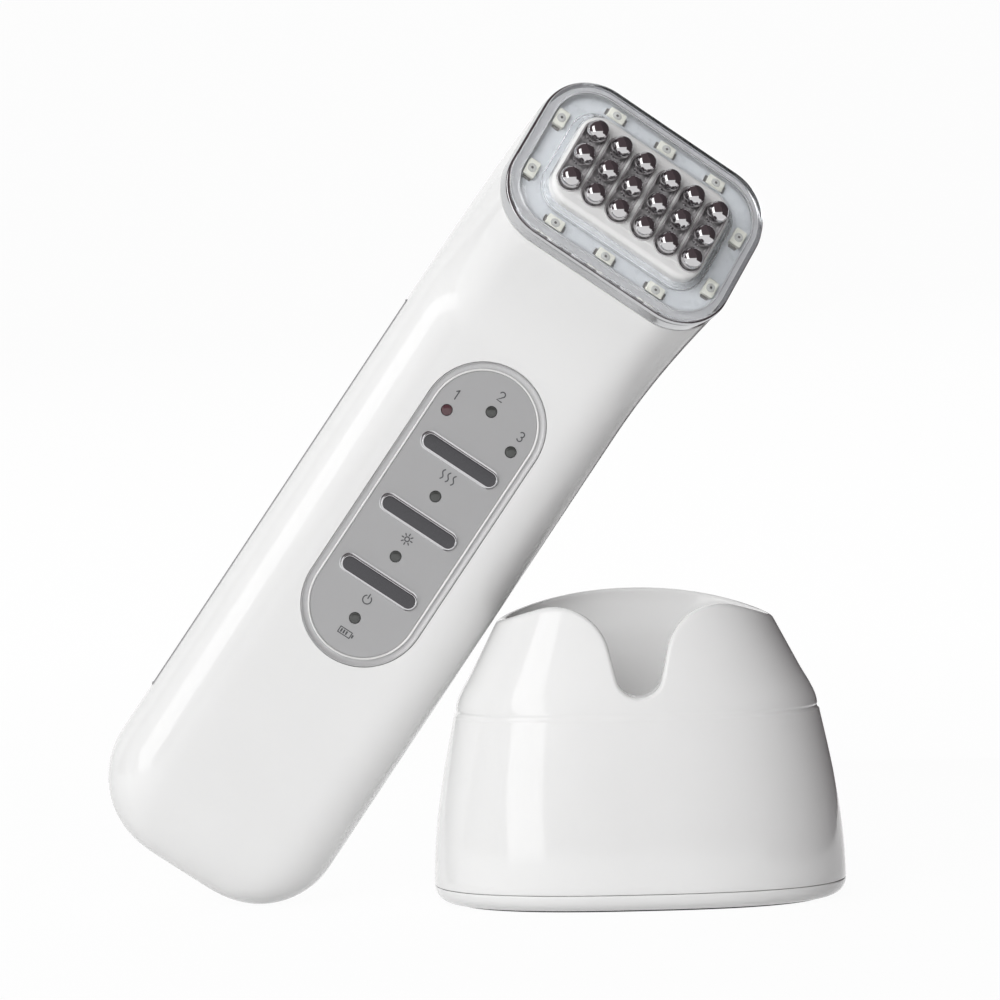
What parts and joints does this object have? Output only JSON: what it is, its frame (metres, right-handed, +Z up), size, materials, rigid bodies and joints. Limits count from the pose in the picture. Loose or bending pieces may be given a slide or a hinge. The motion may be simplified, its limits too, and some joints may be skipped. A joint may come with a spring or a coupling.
{
  "type": "facial toning device",
  "caption": "Hand-held facial toner with ball electrodes under a tilted light ring and a three-button panel, leaning on its notched charging cradle.",
  "frame": {"origin": "centre of the cradle's flat underside, on the surface it stands on", "axes": "+X from the cradle's middle to its right side as seen from the front, away from the leaning handset; -Y to the front, the way the control panel and the treatment face look; +Z up"},
  "size_m": [0.1756, 0.072, 0.1937],
  "materials": {
    "white_gloss": "polished white ABS",
    "bezel_silver": "satin silver paint",
    "plate_silver": "fine matt silver paint",
    "button_smoke": "smoked chrome plating",
    "lens_smoke": "smoked clear plastic",
    "lens_red": "dark red clear plastic",
    "plunger_black": "moulded",
    "board_green": "solder mask",
    "inner_black": "moulded",
    "led_ivory": "moulded",
    "screw_steel": "zinc plated",
    "cell_wrap": "shrink wrapped",
    "ferrite": "sintered",
    "ribbon_amber": "polyimide film",
    "contact_gold": "gold plated",
    "carrier_white": "moulded",
    "chrome_band": "bright plated",
    "seal_black": "matt",
    "led_board_white": "white solder mask",
    "clear_plastic": "polished",
    "electrode_chrome": "bright plated",
    "pad_rubber": "matt"
  },
  "bodies": {
    "cradle": {"cradle_shell": "white_gloss", "cradle_base": "white_gloss", "base_pad": "pad_rubber", "charge_board": "board_green", "pin_block": "inner_black", "dc_inlet": "inner_black", "base_screws": "screw_steel"},
    "handset": {"housing": "white_gloss", "rear_cover": "white_gloss", "panel_bezel": "bezel_silver", "panel_plate": "plate_silver", "lens_level_1": "lens_red", "lens_level_2": "lens_smoke", "lens_level_3": "lens_smoke", "lens_heat": "lens_smoke", "lens_light": "lens_smoke", "lens_charge": "lens_smoke", "main_board": "board_green", "switch_bases": "inner_black", "indicator_leds": "led_ivory", "board_screws": "screw_steel", "battery_cell": "cell_wrap", "battery_holder": "inner_black", "rf_transformer": "ferrite", "power_choke": "ferrite", "head_flex": "ribbon_amber", "charge_contacts": "contact_gold", "head_carrier": "carrier_white", "head_screws": "screw_steel", "chrome_ring": "chrome_band", "head_gasket": "seal_black", "led_board": "led_board_white", "infrared_leds": "led_ivory", "clear_cover": "clear_plastic", "electrode_plate": "white_gloss", "electrode_bar_1": "electrode_chrome", "electrode_bar_2": "electrode_chrome", "electrode_bar_3": "electrode_chrome", "electrode_bar_4": "electrode_chrome", "electrode_bar_5": "electrode_chrome", "electrode_bar_6": "electrode_chrome", "electrode_pins": "contact_gold"},
    "button_level": {"button_level": "button_smoke", "plunger_level": "plunger_black"},
    "button_light": {"button_light": "button_smoke", "plunger_light": "plunger_black"},
    "button_power": {"button_power": "button_smoke", "plunger_power": "plunger_black"},
    "pin_left": {"contact_pin_left": "contact_gold"},
    "pin_right": {"contact_pin_right": "contact_gold"}
  },
  "joints": [
    {"name": "handset_lift", "type": "slide", "parent": "cradle", "child": "handset", "axis": [0, 0, 1], "range_m": [0, 0.12]},
    {"name": "level_press", "type": "slide", "parent": "handset", "child": "button_level", "axis": [-0.1071, 0.9914, 0.0747], "range_m": [0, 0.0005], "stiffness_N_per_m": 3000, "springref_m": -0.0002},
    {"name": "light_press", "type": "slide", "parent": "handset", "child": "button_light", "axis": [-0.1071, 0.9914, 0.0747], "range_m": [0, 0.0005], "stiffness_N_per_m": 3000, "springref_m": -0.0002},
    {"name": "power_press", "type": "slide", "parent": "handset", "child": "button_power", "axis": [-0.1071, 0.9914, 0.0747], "range_m": [0, 0.0005], "stiffness_N_per_m": 3000, "springref_m": -0.0002},
    {"name": "pin_left_press", "type": "slide", "parent": "cradle", "child": "pin_left", "axis": [0, 0, -1], "range_m": [0, 0.0012], "stiffness_N_per_m": 400, "springref_m": -0.0005},
    {"name": "pin_right_press", "type": "slide", "parent": "cradle", "child": "pin_right", "axis": [0, 0, -1], "range_m": [0, 0.0012], "stiffness_N_per_m": 400, "springref_m": -0.0005}
  ]
}
